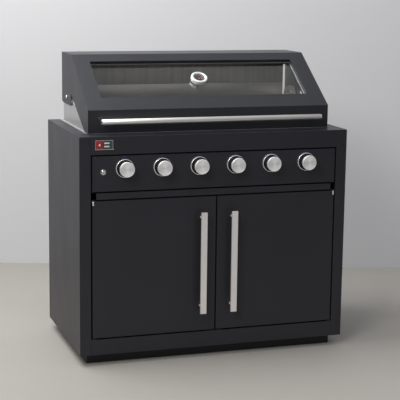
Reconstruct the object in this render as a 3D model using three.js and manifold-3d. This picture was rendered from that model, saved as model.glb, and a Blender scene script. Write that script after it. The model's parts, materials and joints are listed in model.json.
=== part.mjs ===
import * as THREE from 'three';
import { mergeVertices } from 'three/addons/utils/BufferGeometryUtils.js';
import Module from 'manifold-3d';

// Six-burner gas barbecue on a two-door cabinet.
// Millimetres. +Z up, +X to the right seen from the front, -Y towards the cook.
// Origin: centre of the bounding box, on the floor.

const wasm = await Module();
wasm.setup();

// Cabinet.
const casingWidth = 1150;
const casingDepth = 615;
const casingHeight = 894;
const plinthHeight = 45;
const plinthInsetSide = 37;
const plinthInsetFront = 45;
const plinthInsetBack = 25;
const plinthWall = 3;
const plinthFoot = 45;          // inward flange that the plinth stands on
const sheet = 2;                // folded sheet steel
const foldDepth = 20;           // depth of the folded returns
const stileWidth = 46.5;
const reveal = 6;               // gap round the doors, the panel and the tray front
const seam = 0.3;               // gap between pieces that touch
const topRailHeight = 72.5;
const panelHeight = 142;
const trayFrontHeight = 26;
const bottomRailHeight = 65;

// Front hardware.
const reach = 45;               // knobs and handles stand this far ahead of the casing
const doorHandleLength = 424;
const doorHandleWidth = 25;
const doorHandleThickness = 8;
const doorHandleInset = 63;     // bar's centre line from the door's free edge
const doorHandleDrop = 59;      // bar's top end below the door's top edge
const doorPostInset = 26;
const postRadius = 6;
const hingePinRadius = 3;
const hingePinInset = 8;        // pin's centre from the door's edge and from its face
const hingePlate = 3;
const hingePlateLength = 20;
const catchLength = 64;
const catchDepth = 9;
const catchHeight = 18;
const trayFrontInset = 15.5;    // tray front ends short of the door's edge, clear of the hinges
const knobRadius = 30.5;
const knobSkirtRadius = 31.5;
const knobLength = 38;
const knobTravel = 4;
const bezelRadius = 37.5;
const bezelHeight = 9;
const knobWeb = 9;              // metal left between the stem's socket and the knob's face
const spindleRadius = 4;
const plugRadius = 8;
const plugLength = 24;
const buttonRadius = 11.5;
const buttonProud = 8;
const buttonMargin = 44.5;      // button's centre from the panel's end
const buttonDrop = 13.5;        // button's centre below the knobs' centre line
const badgeWidth = 73;
const badgeHeight = 38;
const badgeThickness = 2.5;
const badgeMargin = 17.5;       // badge from the stile's inner edge
const badgeDrop = 14;           // badge from the deck

// Cooking box.
const burnerCount = 6;
const burnerMargin = 117;       // end burner's centre line from the cooking box's wall
const burnerRadius = 14;
const burnerWall = 1.5;
const burnerMouthRadius = 17;
const knobDrop = 50.5;          // knobs' centre line below the panel's top edge
const deckBorder = 48;          // deck left clear beside the cooking box's flange
const flangeWidth = 18;
const boxDepthBelowDeck = 194;
const boxSetback = 93;          // cooking box's front wall behind the casing's front
const boxBackMargin = 40;       // cooking box's back wall ahead of the casing's back
const grateCount = 3;
const grateThickness = 9;
const grateSlots = 14;
const grateDrop = 6;            // top of the grates below the deck
const ledgeWidth = 12;
const grateGap = 2;
const grateEdge = 12;
const grateBar = 11;
const grateRib = 6;
const tamerLift = 12;           // flame tamers above the burners
const tamerHalf = 42;
const tamerRise = 24;
const tamerSheet = 1.5;
const runnerInset = 8;          // tray's runners inside the cooking box's walls
const runnerDrop = 42;
const trayClearance = 14;
const trayBackClearance = 20;
const drainWidth = 220;
const drainDepth = 70;

// Gas parts.
const valveWidth = 32;
const valveHeight = 36;
const valveDepth = 42;
const valveSetback = 6;         // valves behind the panel's folds
const nozzleLength = 12;
const nozzleRadius = 4;
const nozzleReach = 6;          // nozzle's tip inside the burner's mouth
const manifoldRadius = 10;
const manifoldOverlap = 3;      // supply pipe sunk in the valves' undersides
const inletRadius = 9;
const burnerBackGap = 30;

// Hood.
const hoodSetback = 81;
const hoodBackMargin = 44;
const hoodLift = 3;
const hoodFrontHeight = 93;
const hoodSlopeRun = 304;
const hoodSlopeRise = 202;
const hoodOverlap = 6.5;        // hood's side inside the flange's outer edge
const hoodNotchLift = 130;      // top of the notch in the hood's side, above the deck
const rearNotchMargin = 18;     // rear notches' height over the side plates' swing
const hoodTabLift = 81;         // lower edge round the pivot, above the deck
const hoodDiagonalStart = 64;   // where the side's lower edge starts to rise, behind the hood's front
const pivotInset = 101;         // pivot ahead of the hood's back
const pivotLift = 112;          // pivot above the deck
const pivotRadius = 4;
const tabReach = 78;            // tab's front edge ahead of the pivot
const windowMargin = 70.5;      // window from the hood's side
const windowLow = 79;           // window's lower edge, along the slope from its foot
const windowHigh = 49;          // window's upper edge, along the slope from its top
const windowDepth = 17.5;
const glassThickness = 4;
const glassOverlap = 12;
const retainerWidth = 30;
const thermometerRadius = 35.5;
const thermometerLift = 4.5;    // thermometer's centre above the window's middle
const probeLength = 45;
const handleLength = 948;
const handleRadius = 12;
const handleDrop = 44.5;        // bar's centre line below the top of the hood's front
const handleStandoff = 36;      // bar's centre line ahead of the hood's front
const handlePostInset = 44;
const rackWire = 3;
const rackDepth = 100;
const rackLift = 106;           // warming rack above the deck
const rackWires = 5;
const rackInset = 7;
const bracketInset = 3;         // side plates outside the cooking box's walls
const bracketRise = 30;         // side plates' top above the pivot
const bracketFoot = 13;
const probeHole = 6;
const dialPinRadius = 2;
const dialFloor = -9;           // dial's face below the slope
const needleThickness = 1.2;
const needleRest = 135;         // degrees anticlockwise from the slope's uphill line

// Derived places.
const frontY = reach - (casingDepth + reach) / 2;
const backY = frontY + casingDepth;
const sideX = casingWidth / 2;
const floorZ = plinthHeight;
const deckZ = floorZ + casingHeight;
const openingX = sideX - stileWidth;
const panelX = openingX - reveal;
const panelTop = deckZ - topRailHeight - reveal;
const panelBottom = panelTop - panelHeight;
const trayTop = panelBottom - reveal;
const trayBottom = trayTop - trayFrontHeight;
const trayFrontX = panelX - trayFrontInset;
const doorTop = trayBottom - reveal;
const railTop = floorZ + bottomRailHeight;
const doorBottom = railTop + reveal;
const backPanelY = backY - 2 * sheet - seam;
const knobZ = panelTop - knobDrop;
const buttonX = buttonMargin - panelX;
const buttonZ = knobZ - buttonDrop;

const flangeX = sideX - deckBorder;
const boxX = flangeX - flangeWidth;
const boxFrontY = frontY + boxSetback;
const boxBackY = backY - boxBackMargin;
const boxBottom = deckZ - boxDepthBelowDeck;
const flangeTop = deckZ + seam + sheet;
const burnerPitch = (2 * (boxX - sheet - burnerMargin)) / (burnerCount - 1);
const burnerXs = Array.from({ length: burnerCount }, (_, i) => (i - (burnerCount - 1) / 2) * burnerPitch);
const grateTop = deckZ - grateDrop;
const ledgeZ = grateTop - grateThickness - seam;

const hoodX = flangeX - hoodOverlap;
const hoodFrontY = frontY + hoodSetback;
const hoodBackY = backY - hoodBackMargin;
const hoodBottom = deckZ + hoodLift;
const slopeFootZ = hoodBottom + hoodFrontHeight;
const slopeHeadY = hoodFrontY + hoodSlopeRun;
const hoodTopZ = slopeFootZ + hoodSlopeRise;
const slopeLength = Math.hypot(hoodSlopeRun, hoodSlopeRise);
const pivotY = hoodBackY - pivotInset;
const pivotZ = deckZ + pivotLift;
const bracketX = boxX + bracketInset;
const bracketBackY = hoodBackY - 5;
const rackX = bracketX - rackInset;
const pinX = panelX - hingePinInset;
const pinY = frontY + hingePinInset;
const valveFront = frontY + foldDepth + valveSetback;
const valveBack = valveFront + valveDepth;
const manifoldZ = knobZ - valveHeight / 2 - manifoldRadius + manifoldOverlap;
const manifoldY = (valveFront + valveBack) / 2;
const inletX = (boxX + sideX) / 2;
const burnerFrontY = valveBack + nozzleLength - nozzleReach;
const burnerEndY = boxBackY - sheet - burnerBackGap;
const tamerZ = knobZ + burnerRadius + tamerLift;
const runnerX = boxX - runnerInset;
const runnerLedgeZ = boxBottom - runnerDrop;
const trayX = runnerX - trayClearance;
const grateWidth = (2 * (boxX - sheet) - (grateCount + 1) * grateGap) / grateCount;
const windowX = hoodX - windowMargin;
const windowS0 = windowLow;
const windowS1 = slopeLength - windowHigh;
const glassTop = -windowDepth - seam;
const glassBottom = glassTop - glassThickness;
const dialS = (windowS0 + windowS1) / 2 + thermometerLift;

// Materials.
function finish(color, roughness, metalness, opacity = 1) {
  return { color, roughness, metalness, opacity, transparent: opacity < 1 };
}

const blackPaint = finish(0x2b2c2e, 0.5, 0.2);
const stainless = finish(0xb4b5b6, 0.35, 0.9);
const satinSilver = finish(0xcac8c4, 0.3, 0.9);
const chrome = finish(0xd8dadd, 0.12, 1);
const castIron = finish(0x1c1c1d, 0.75, 0.4);
const brassAlloy = finish(0xb08d4a, 0.4, 0.9);
const blackSteel = finish(0x161617, 0.6, 0.3);
const tintedGlass = finish(0x4c5450, 0.08, 0, 0.35);
const redEnamel = finish(0xa8242a, 0.35, 0.1);
const needleRed = finish(0xc23a26, 0.5, 0);

// Solids.
function toSolid(geometry) {
  const plain = geometry.index ? geometry.toNonIndexed() : geometry.clone();
  for (const name of Object.keys(plain.attributes)) {
    if (name !== 'position') plain.deleteAttribute(name);
  }
  const welded = mergeVertices(plain, 1e-4);
  return new wasm.Manifold(new wasm.Mesh({
    numProp: 3,
    vertProperties: new Float32Array(welded.attributes.position.array),
    triVerts: new Uint32Array(welded.index.array),
  }));
}

function toGeometry(solid) {
  const mesh = solid.getMesh();
  const geometry = new THREE.BufferGeometry();
  geometry.setAttribute('position', new THREE.BufferAttribute(new Float32Array(mesh.vertProperties), 3));
  geometry.setIndex(new THREE.BufferAttribute(new Uint32Array(mesh.triVerts), 1));
  return geometry;
}

function join(...geometries) {
  return toGeometry(geometries.map(toSolid).reduce((whole, next) => whole.add(next)));
}

function cut(geometry, ...tools) {
  return toGeometry(tools.map(toSolid).reduce((whole, tool) => whole.subtract(tool), toSolid(geometry)));
}

// A box from its low and high limits on each axis.
function block([x0, x1], [y0, y1], [z0, z1]) {
  const geometry = new THREE.BoxGeometry(x1 - x0, y1 - y0, z1 - z0);
  return geometry.translate((x0 + x1) / 2, (y0 + y1) / 2, (z0 + z1) / 2);
}

function outline(points) {
  return new THREE.Shape(points.map(([a, b]) => new THREE.Vector2(a, b)));
}

function extrude(shape, depth) {
  return new THREE.ExtrudeGeometry(shape, { depth, bevelEnabled: false });
}

// Outline of [y, z] points, extruded from x0 to x1.
function alongX(points, x0, x1) {
  const turn = new THREE.Matrix4().makeBasis(
    new THREE.Vector3(0, 1, 0),
    new THREE.Vector3(0, 0, 1),
    new THREE.Vector3(1, 0, 0),
  );
  return extrude(outline(points), x1 - x0).applyMatrix4(turn).translate(x0, 0, 0);
}

// Outline of [x, z] points, extruded from y0 to y1.
function alongY(points, y0, y1) {
  const turn = new THREE.Matrix4().makeBasis(
    new THREE.Vector3(1, 0, 0),
    new THREE.Vector3(0, 0, 1),
    new THREE.Vector3(0, -1, 0),
  );
  return extrude(outline(points), y1 - y0).applyMatrix4(turn).translate(0, y1, 0);
}

// Outline of [x, y] points, extruded from z0 to z1.
function alongZ(points, z0, z1) {
  return extrude(outline(points), z1 - z0).translate(0, 0, z0);
}

// Round piece about the Y axis from [radius, y] points, listed with y rising along the outside.
function turnedY(points, segments) {
  return new THREE.LatheGeometry(points.map(([r, y]) => new THREE.Vector2(r, y)), segments);
}

function rod(axis, radius, length, centre, segments = 12) {
  const geometry = new THREE.CylinderGeometry(radius, radius, length, segments);
  if (axis === 'x') geometry.rotateZ(Math.PI / 2);
  if (axis === 'z') geometry.rotateX(Math.PI / 2);
  return geometry.translate(...centre);
}

function sorted(a, b) {
  return [Math.min(a, b), Math.max(a, b)];
}

function mirrored(geometry) {
  const solid = toSolid(geometry).mirror([1, 0, 0]);
  return toGeometry(solid);
}

// Places a geometry made flat, as [x, distance up the slope, height off it], on the hood's slope.
function onSlope(geometry) {
  const run = hoodSlopeRun / slopeLength;
  const rise = hoodSlopeRise / slopeLength;
  const turn = new THREE.Matrix4().makeBasis(
    new THREE.Vector3(1, 0, 0),
    new THREE.Vector3(0, run, rise),
    new THREE.Vector3(0, -rise, run),
  );
  return geometry.applyMatrix4(turn).translate(0, hoodFrontY, slopeFootZ);
}

const barbecue = new THREE.Group();

function add(name, geometry, look) {
  const mesh = new THREE.Mesh(geometry, new THREE.MeshStandardMaterial(look));
  mesh.name = name;
  barbecue.add(mesh);
}

// Cabinet pieces.
function plinthFrame() {
  const x = sideX - plinthInsetSide;
  const yFront = frontY + plinthInsetFront;
  const yBack = backY - plinthInsetBack;
  const top = floorZ - seam;
  const wall = plinthWall;
  const foot = plinthFoot;
  return cut(
    block([-x, x], [yFront, yBack], [0, top]),
    block([wall - x, x - wall], [yFront + wall, yBack - wall], [wall, top + 1]),
    block([foot - x, x - foot], [yFront + foot, yBack - foot], [-1, wall + 1]),
  );
}

// Floor sheet with its front folded up as the rail below the doors.
function cabinetFloor() {
  const wide = sideX - sheet - seam;
  const narrow = openingX - seam;
  const notchY = frontY + foldDepth + seam;
  const rearY = backPanelY - seam;
  const plan = [
    [-narrow, frontY], [narrow, frontY], [narrow, notchY], [wide, notchY],
    [wide, rearY], [-wide, rearY], [-wide, notchY], [-narrow, notchY],
  ];
  return join(
    alongZ(plan, floorZ, floorZ + sheet),
    block([-narrow, narrow], [frontY, frontY + sheet], [floorZ, railTop]),
    block([-narrow, narrow], [frontY, frontY + foldDepth], [railTop - sheet, railTop]),
  );
}

// Side wall, front stile and their folded returns, in one sheet; right-hand side.
function sidePanel() {
  const plan = [
    [sideX, frontY], [sideX, backY], [sideX - foldDepth, backY], [sideX - foldDepth, backY - sheet],
    [sideX - sheet, backY - sheet], [sideX - sheet, frontY + sheet], [openingX + sheet, frontY + sheet],
    [openingX + sheet, frontY + foldDepth], [openingX, frontY + foldDepth], [openingX, frontY],
  ];
  return alongZ(plan, floorZ, deckZ - sheet - seam);
}

function backPanel() {
  const x = sideX - sheet - seam;
  const inletHole = rod('y', inletRadius + 4, 20, [inletX, backPanelY, manifoldZ], 16);
  return cut(block([-x, x], [backPanelY, backPanelY + sheet], [floorZ, deckZ - sheet - seam]), inletHole);
}

// Deck sheet with the cooking box's cut-out and its front folded down as the top rail.
function deckTop() {
  const railX = openingX - seam;
  const railBottom = deckZ - topRailHeight;
  const clearance = 2;
  return cut(
    join(
      block([-sideX, sideX], [frontY, backY], [deckZ - sheet, deckZ]),
      block([-railX, railX], [frontY, frontY + sheet], [railBottom, deckZ]),
      block([-railX, railX], [frontY, frontY + foldDepth], [railBottom, railBottom + sheet]),
    ),
    block(
      [-boxX - clearance, boxX + clearance],
      [boxFrontY - clearance, boxBackY + clearance],
      [deckZ - sheet - 1, deckZ + 1],
    ),
  );
}

function controlPanel() {
  const skin = block([-panelX, panelX], [frontY, frontY + sheet], [panelBottom, panelTop]);
  const topFold = block([-panelX, panelX], [frontY, frontY + foldDepth], [panelTop - sheet, panelTop]);
  const lowFold = block([-panelX, panelX], [frontY, frontY + foldDepth], [panelBottom, panelBottom + sheet]);
  const spindleHoles = burnerXs.map((x) => rod('y', spindleRadius + 2, 20, [x, frontY, knobZ], 8));
  const buttonHole = rod('y', buttonRadius + 0.5, 20, [buttonX, frontY, buttonZ], 16);
  return cut(join(skin, topFold, lowFold), ...spindleHoles, buttonHole);
}

function badgePlate() {
  const x = badgeMargin - openingX;
  const z = deckZ - badgeDrop;
  const y = frontY - seam;
  const chamfer = 1;
  const plan = [
    [x, y], [x, y - badgeThickness + chamfer], [x + chamfer, y - badgeThickness],
    [x + badgeWidth - chamfer, y - badgeThickness], [x + badgeWidth, y - badgeThickness + chamfer],
    [x + badgeWidth, y],
  ];
  return alongZ(plan, z - badgeHeight, z);
}

// Doors.

// Folded pan with returns on four sides and pin holes at its outer edge; right-hand door.
function doorPan() {
  const inner = reveal / 2;
  const t = sheet;
  const pan = cut(
    block([inner, panelX], [frontY, frontY + foldDepth], [doorBottom, doorTop]),
    block([inner + t, panelX - t], [frontY + t, frontY + foldDepth + 1], [doorBottom + t, doorTop - t]),
  );
  return cut(
    pan,
    rod('z', hingePinRadius + seam, 10, [pinX, pinY, doorTop], 16),
    rod('z', hingePinRadius + seam, 10, [pinX, pinY, doorBottom], 16),
  );
}

function doorHandle() {
  const x = reveal / 2 + doorHandleInset;
  const half = doorHandleWidth / 2;
  const top = doorTop - doorHandleDrop;
  const bottom = top - doorHandleLength;
  const face = frontY - reach;
  const postLength = reach - doorHandleThickness / 2 - seam;
  const postY = frontY - seam - postLength / 2;
  const posts = [bottom + doorPostInset, top - doorPostInset].map(
    (z) => rod('y', postRadius, postLength, [x, postY, z]),
  );
  return join(block([x - half, x + half], [face, face + doorHandleThickness], [bottom, top]), ...posts);
}

// Plate with an upright pin; it lies on the rail below a door, or hangs in the gap above it.
function hingeBracket(upper) {
  const pinLength = 9;
  const plateLow = upper ? doorTop + seam : railTop + seam;
  const plateHigh = plateLow + hingePlate;
  const pinLow = upper ? doorTop - pinLength + hingePlate : plateLow;
  const pinHigh = upper ? plateHigh + hingePinRadius : doorBottom + pinLength - hingePlate;
  const plateEnd = openingX - seam;
  return join(
    block([plateEnd - hingePlateLength, plateEnd], [frontY + 1, frontY + foldDepth], [plateLow, plateHigh]),
    rod('z', hingePinRadius, pinHigh - pinLow, [pinX, pinY, (pinLow + pinHigh) / 2], 16),
  );
}

// Catch behind the doors' meeting edges, standing on the rail's fold.
function magnetCatch() {
  const x = catchLength / 2;
  const base = railTop + seam;
  const behind = frontY + foldDepth + seam;
  return join(
    block([-x, x], [frontY + hingePlate, behind + 1], [base, base + sheet]),
    block([-x, x], [behind, behind + catchDepth], [base, base + catchHeight]),
  );
}

// Gas parts.

// Supply pipe with its six valve bodies and nozzles, and the inlet leg that runs to the back.
function gasManifold() {
  const first = burnerXs[0] - valveWidth;
  const legEnd = backY - 1;
  const parts = [
    rod('x', manifoldRadius, inletX - first, [(first + inletX) / 2, manifoldY, manifoldZ], 10),
    rod('y', inletRadius, legEnd - manifoldY, [inletX, (legEnd + manifoldY) / 2, manifoldZ], 10),
    block(
      [inletX - manifoldRadius, inletX + manifoldRadius],
      [manifoldY - manifoldRadius, manifoldY + manifoldRadius],
      [manifoldZ - manifoldRadius, manifoldZ + manifoldRadius],
    ),
  ];
  const bores = [];
  for (const x of burnerXs) {
    parts.push(block(
      [x - valveWidth / 2, x + valveWidth / 2],
      [valveFront, valveBack],
      [knobZ - valveHeight / 2, knobZ + valveHeight / 2],
    ));
    parts.push(rod('y', nozzleRadius, nozzleLength * 2, [x, valveBack, knobZ], 8));
    bores.push(rod('y', plugRadius + seam, plugLength * 2, [x, valveFront, knobZ]));
  }
  return cut(join(...parts), ...bores);
}

// Valve plug with the stem that the knob sits on.
function spindle(x) {
  const stemFront = frontY - reach + knobWeb + knobTravel + 1;
  const plugFront = valveFront + 1;
  const plugBack = plugFront + plugLength - 2;
  return turnedY([
    [0, stemFront], [spindleRadius, stemFront], [spindleRadius, plugFront],
    [plugRadius, plugFront], [plugRadius, plugBack], [0, plugBack],
  ], 12).translate(x, 0, knobZ);
}


function knob(x) {
  const face = frontY - reach;
  const rear = face + knobLength;
  const bore = spindleRadius + seam;
  return turnedY([
    [0, face], [knobRadius - 1.2, face], [knobRadius, face + 1.2], [knobSkirtRadius, rear],
    [bore, rear], [bore, face + knobWeb], [0, face + knobWeb],
  ], 24).translate(x, 0, knobZ);
}

function bezel(x) {
  const base = frontY - seam;
  const rim = base - bezelHeight;
  const floorFace = base - sheet / 2;
  const lip = knobSkirtRadius + 2.5;
  const bore = spindleRadius + 2;
  return turnedY([
    [lip, rim], [bezelRadius - 1.5, rim], [bezelRadius, rim + 1.5], [bezelRadius, base],
    [bore, base], [bore, floorFace], [lip, floorFace], [lip, rim],
  ], 24).translate(x, 0, knobZ);
}

function ignitionButton() {
  const face = frontY - buttonProud;
  const flangeY = frontY + sheet + seam;
  return turnedY([
    [0, face], [buttonRadius - 3, face + 0.6], [buttonRadius, face + 2.5], [buttonRadius, flangeY],
    [buttonRadius + 2, flangeY], [buttonRadius + 2, flangeY + 3], [0, flangeY + 3],
  ], 20).translate(buttonX, 0, buttonZ);
}

// Flared mouth, narrow throat and a closed burner tube, open at the front.
function burner(x) {
  const mouth = burnerMouthRadius;
  const throat = burnerRadius - 5;
  const wall = burnerWall;
  const [y0, y3] = [burnerFrontY, burnerEndY];
  const [y1, y2] = [y0 + 12, y0 + 40];
  const wide = burnerRadius;
  return turnedY([
    [mouth, y0], [throat + wall, y1], [wide, y2], [wide, y3], [0, y3],
    [0, y3 - wall], [wide - wall, y3 - wall], [wide - wall, y2], [throat, y1],
    [mouth - wall, y0], [mouth, y0],
  ], 12).translate(x, 0, knobZ);
}

// Cooking box.

// Open box with a flange on the deck, a drain and two runners for the tray below.
function firebox() {
  const t = sheet;
  const clear = burnerRadius + 2;
  const flangeFrontY = hoodFrontY + t + 1.5;
  const flangeBackY = boxBackY + flangeWidth / 2;
  const drainX = drainWidth / 2;
  const drainY = drainDepth / 2;
  const tub = cut(
    join(
      block([-boxX, boxX], [boxFrontY, boxBackY], [boxBottom, flangeTop]),
      block([-flangeX, flangeX], [flangeFrontY, flangeBackY], [flangeTop - t, flangeTop]),
    ),
    block([t - boxX, boxX - t], [boxFrontY + t, boxBackY - t], [boxBottom + t, flangeTop + 1]),
    block([-drainX, drainX], [-drainY, drainY], [boxBottom - 1, boxBottom + t + 1]),
    ...burnerXs.map((x) => rod('y', clear, 20, [x, boxFrontY, knobZ], 12)),
  );
  const runners = [-1, 1].flatMap((side) => {
    const xs = (a, b) => sorted(side * a, side * b);
    return [
      block(xs(runnerX, runnerX + t), [boxFrontY, boxBackY], [runnerLedgeZ - t, boxBottom + t / 2]),
      block(xs(runnerX - ledgeWidth, runnerX + t), [boxFrontY, boxBackY], [runnerLedgeZ - t, runnerLedgeZ]),
    ];
  });
  return join(tub, ...runners);
}

// Pull-out tray: front strip, pan and side rims that slide on the cooking box's runners.
function greaseTray() {
  const t = sheet;
  const rimZ = runnerLedgeZ + seam;
  const panBottom = trayBottom + 3;
  const backEnd = boxBackY - trayBackClearance;
  const rim = block([seam - runnerX, runnerX - seam], [frontY + t / 2, backEnd], [rimZ, rimZ + t]);
  const pan = block([-trayX, trayX], [frontY + t / 2, backEnd], [panBottom, rimZ + t]);
  const hollow = block([t - trayX, trayX - t], [frontY + t, backEnd - t], [panBottom + t, rimZ + t + 1]);
  const front = block([-trayFrontX, trayFrontX], [frontY, frontY + t], [trayBottom, trayTop]);
  return join(cut(join(pan, rim), hollow), front);
}


// Cast grid: long slots in two rows with a rib between them.
function cookingGrate(index) {
  const x0 = sheet - boxX + grateGap + index * (grateWidth + grateGap);
  const y0 = boxFrontY + sheet + 2;
  const y1 = boxBackY - sheet - 2;
  const edge = grateEdge;
  const barPitch = (grateWidth - edge) / grateSlots;
  const middle = (y0 + y1) / 2;
  const slots = [];
  for (let i = 0; i < grateSlots; i += 1) {
    const a = x0 + edge + i * barPitch;
    const xs = [a, a + barPitch - grateBar];
    const zs = [grateTop - grateThickness - 1, grateTop + 1];
    slots.push(block(xs, [y0 + 2 * edge, middle - grateRib], zs));
    slots.push(block(xs, [middle + grateRib, y1 - 2 * edge], zs));
  }
  return cut(block([x0, x0 + grateWidth], [y0, y1], [grateTop - grateThickness, grateTop]), ...slots);
}

// One folded roof over each burner. A folded rail along the front and back walls ties the roofs
// together, and its upper flange is the ledge that the grates rest on.
function flameTamerRack() {
  const half = tamerHalf;
  const rise = tamerRise;
  const t = tamerSheet;
  const y0 = boxFrontY + sheet + seam;
  const y1 = boxBackY - sheet - seam;
  const end = boxX - sheet - seam;
  const roofs = burnerXs.map((x) => alongY([
    [x - half, tamerZ], [x, tamerZ + rise], [x + half, tamerZ],
    [x + half, tamerZ + t], [x, tamerZ + rise + t], [x - half, tamerZ + t],
  ], y0, y1));
  const rails = [[y0, 1], [y1, -1]].flatMap(([wall, inward]) => {
    const web = sorted(wall, wall + inward * t);
    const ledge = sorted(wall, wall + inward * ledgeWidth);
    return [
      block([-end, end], web, [tamerZ, ledgeZ]),
      block([-end, end], ledge, [ledgeZ - t, ledgeZ]),
      block([-end, end], ledge, [tamerZ, tamerZ + t]),
    ];
  });
  return join(...roofs, ...rails);
}

// Hood carriers.
// Stainless side plate that stands on the flange and carries the hood's pivot; right-hand side.
function hoodBracket() {
  const t = sheet;
  const base = flangeTop + seam;
  const start = hoodFrontY + hoodDiagonalStart - 20;
  const top = pivotZ + bracketRise;
  const shoulderZ = deckZ + hoodTabLift + 6;
  const shoulderFront = start + 180;
  const shoulderBack = pivotY - tabReach + 18;
  const plate = alongX([
    [start, base], [bracketBackY, base], [bracketBackY, pivotZ + 4], [pivotY + bracketRise, top],
    [pivotY - bracketRise, top], [shoulderBack, shoulderZ], [shoulderFront, shoulderZ], [start, base + 16],
  ], bracketX, bracketX + t);
  const foot = block([bracketX - bracketFoot, bracketX + t], [start, bracketBackY], [base, base + t]);
  const hole = rod('x', pivotRadius + seam, 20, [bracketX, pivotY, pivotZ], 16);
  return cut(join(plate, foot), hole);
}

function pivotBolt() {
  const headStart = hoodX + seam;
  const nutEnd = bracketX - seam;
  const shankStart = nutEnd - 8;
  const shankEnd = headStart + 4;
  const shankMiddle = (shankStart + shankEnd) / 2;
  return join(
    rod('x', pivotRadius, shankEnd - shankStart, [shankMiddle, pivotY, pivotZ], 12),
    rod('x', 8.5, 4, [headStart + 2, pivotY, pivotZ], 12),
    rod('x', 7, 6, [nutEnd - 3, pivotY, pivotZ], 6),
  );
}

// Wire shelf on four legs that stand on the side plates' feet.
function warmingRack() {
  const z = deckZ + rackLift;
  const y1 = pivotY - 40;
  const y0 = y1 - rackDepth;
  const footZ = flangeTop + sheet + 2 * seam;
  const parts = [];
  for (let i = 0; i < rackWires; i += 1) {
    const y = y0 + (i * rackDepth) / (rackWires - 1);
    parts.push(rod('x', rackWire - 0.5, 2 * rackX, [0, y, z], 6));
  }
  for (const x of [-rackX, -rackX / 3, rackX / 3, rackX]) {
    parts.push(rod('y', rackWire, rackDepth + 2 * rackWire, [x, (y0 + y1) / 2, z], 6));
  }
  for (const x of [-rackX, rackX]) {
    for (const y of [y0, y1]) {
      parts.push(rod('z', rackWire - 0.2, z - footZ, [x, y, (z + footZ) / 2], 6));
    }
  }
  return join(...parts);
}

// Hood pieces.

// The hood's outline above its lower edge, from the back's top corner to the slope's foot.
function hoodRoof(inset) {
  const slopeTan = hoodSlopeRise / hoodSlopeRun;
  const slopeShift = (inset * slopeLength) / hoodSlopeRun;
  return [
    [hoodBackY - inset, hoodTopZ - inset],
    [slopeHeadY + (slopeShift - inset) / slopeTan, hoodTopZ - inset],
    [hoodFrontY + inset, slopeFootZ + inset * slopeTan - slopeShift],
  ];
}

// Folded hood: front, slope, top, back and side cheeks in one shell, with the framed window opening.
function hoodShell() {
  const t = sheet;
  const tabZ = deckZ + hoodTabLift;
  const cheek = [
    [hoodFrontY, hoodBottom], [hoodFrontY + hoodDiagonalStart, hoodBottom],
    [pivotY - tabReach - 3, deckZ + hoodNotchLift], [pivotY - tabReach, tabZ],
    [hoodBackY - 41, tabZ], [hoodBackY, tabZ + 5], ...hoodRoof(0),
  ];
  const hollow = [[hoodFrontY + t, deckZ - 1], [hoodBackY - t, deckZ - 1], ...hoodRoof(t)];
  const shell = cut(alongX(cheek, -hoodX, hoodX), alongX(hollow, t - hoodX, hoodX - t));
  const frame = cut(
    block([-windowX - t, windowX + t], [windowS0 - t, windowS1 + t], [-windowDepth, -t / 2]),
    block([-windowX, windowX], [windowS0, windowS1], [-windowDepth - 1, 1]),
  );
  const opening = block([-windowX, windowX], [windowS0, windowS1], [-t - 2, 1]);
  const notchTop = pivotZ + pivotInset + rearNotchMargin;
  const notchX = bracketX - 4;
  const notches = [[-hoodX + t, -notchX], [notchX, hoodX - t]].map(
    (xs) => block(xs, [hoodBackY - t - 1, hoodBackY + 1], [tabZ - 10, notchTop]),
  );
  const pivots = [-hoodX, hoodX].map((x) => rod('x', pivotRadius + seam, 20, [x, pivotY, pivotZ], 16));
  return cut(join(cut(shell, onSlope(opening), ...notches), onSlope(frame)), ...pivots);
}

function windowGlass() {
  const pane = block(
    [-windowX - glassOverlap, windowX + glassOverlap],
    [windowS0 - glassOverlap, windowS1 + glassOverlap],
    [glassBottom, glassTop],
  );
  return onSlope(cut(pane, rod('z', probeHole + seam, 30, [0, dialS, glassTop], 16)));
}

// Frame that holds the pane from below; its rim wraps the pane's edge.
function windowRetainer() {
  const outerX = windowX + glassOverlap + seam + sheet;
  const [low, high] = [windowS0 - glassOverlap - seam - sheet, windowS1 + glassOverlap + seam + sheet];
  const depth = glassThickness + 2 * seam + sheet;
  const w = retainerWidth;
  return onSlope(cut(
    block([-outerX, outerX], [low, high], [glassTop - depth, glassTop]),
    block([sheet - outerX, outerX - sheet], [low + sheet, high - sheet], [glassBottom - seam, glassTop + 1]),
    block([w - outerX, outerX - w], [low + w, high - w], [glassTop - depth - 1, glassTop + 1]),
  ));
}

// Dial case with its probe through the glass.
function thermometer() {
  const top = 1.5;
  const rim = 4;
  const base = glassTop + seam;
  const tip = glassBottom - probeLength;
  const profile = [
    [0, tip], [3, tip], [3, glassBottom - 6], [probeHole, glassBottom - 6], [probeHole, base],
    [thermometerRadius - 2, base], [thermometerRadius, base + 3], [thermometerRadius, top - 2],
    [thermometerRadius - 2, top], [thermometerRadius - rim, top], [thermometerRadius - rim - 1, dialFloor],
    [dialPinRadius, dialFloor], [dialPinRadius, dialFloor + 3], [0, dialFloor + 3],
  ];
  const body = turnedY(profile, 24).rotateX(Math.PI / 2);
  return onSlope(body.translate(0, dialS, 0));
}

// Pointer with a counterweight tail, turning on the dial's centre pin.
function thermometerNeedle() {
  const low = dialFloor + 1;
  const high = low + needleThickness;
  const swing = (Math.PI / 180) * needleRest;
  const pointer = cut(
    join(
      alongZ([[-1.6, -10], [1.6, -10], [0.6, 25], [-0.6, 25]], low, high),
      rod('z', 5, high - low, [0, 0, (low + high) / 2], 16),
    ),
    rod('z', dialPinRadius + seam, 10, [0, 0, low], 16),
  );
  return onSlope(pointer.rotateZ(swing).translate(0, dialS, 0));
}

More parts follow.
